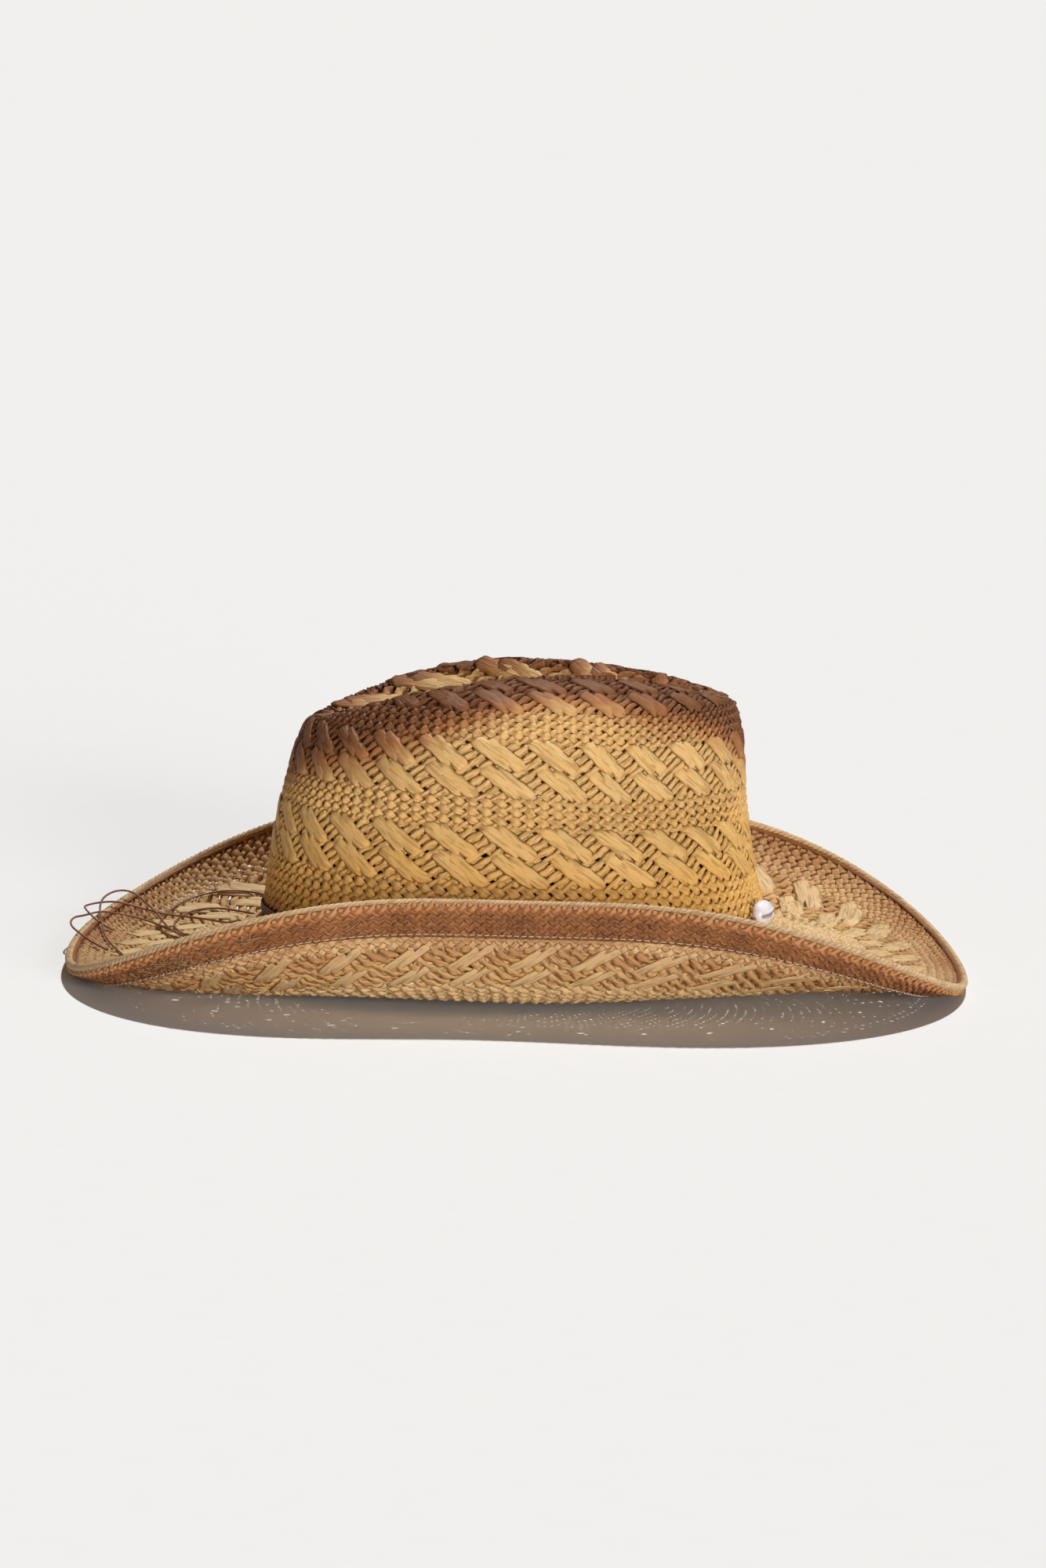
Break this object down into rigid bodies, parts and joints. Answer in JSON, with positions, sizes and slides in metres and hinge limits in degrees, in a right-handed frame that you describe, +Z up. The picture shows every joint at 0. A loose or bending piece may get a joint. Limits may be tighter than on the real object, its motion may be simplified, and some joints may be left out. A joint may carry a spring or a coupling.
{
  "type": "cowboy hat",
  "caption": "Woven straw cowboy hat with a pinched teardrop crown, a wired rolled brim and a thin cord hatband with loose ends and a cowrie shell.",
  "frame": {"origin": "on the table under the middle of the hat, which stands on the front and back tips of its brim", "axes": "+X to the front of the hat, +Y to its left side as worn, +Z up through the crown"},
  "size_m": [0.3738, 0.301, 0.1262],
  "materials": {
    "straw": "woven paper straw, matte, burnt brown on the ridges and the brim edge",
    "hem": "dark brown plaited straw tape",
    "wire": "thin spring steel wire",
    "joiner": "crimped tube",
    "thread": "sewing thread",
    "sweatband": "grosgrain ribbon",
    "label": "plain woven label",
    "cord": "waxed cord",
    "shell": "glossy cowrie shell, stands in for ceramic-like shell"
  },
  "bodies": {
    "hat": {"crown_side": "straw", "crown_tip": "straw", "brim": "straw", "brim_hem": "hem", "brim_wire": "wire", "brim_wire_joiner": "joiner", "hem_stitching": "thread", "sweatband": "sweatband", "sweatband_stitching": "thread", "sweatband_join_patch": "sweatband", "size_label": "label"},
    "hatband": {"hatband_turn_lower": "cord", "hatband_turn_middle": "cord", "hatband_turn_upper": "cord", "hatband_knot_right": "cord", "hatband_knot_left": "cord", "cowrie_shell": "shell", "shell_knot_left": "thread", "shell_knot_right": "thread", "hatband_tail_1": "cord", "hatband_tail_2": "cord", "hatband_tail_3": "cord", "hatband_loop_1": "cord", "hatband_loop_2": "cord"}
  },
  "joints": [
    {"name": "hatband_lift", "type": "slide", "parent": "hat", "child": "hatband", "axis": [0, 0, 1], "range_m": [0, 0.13]}
  ]
}
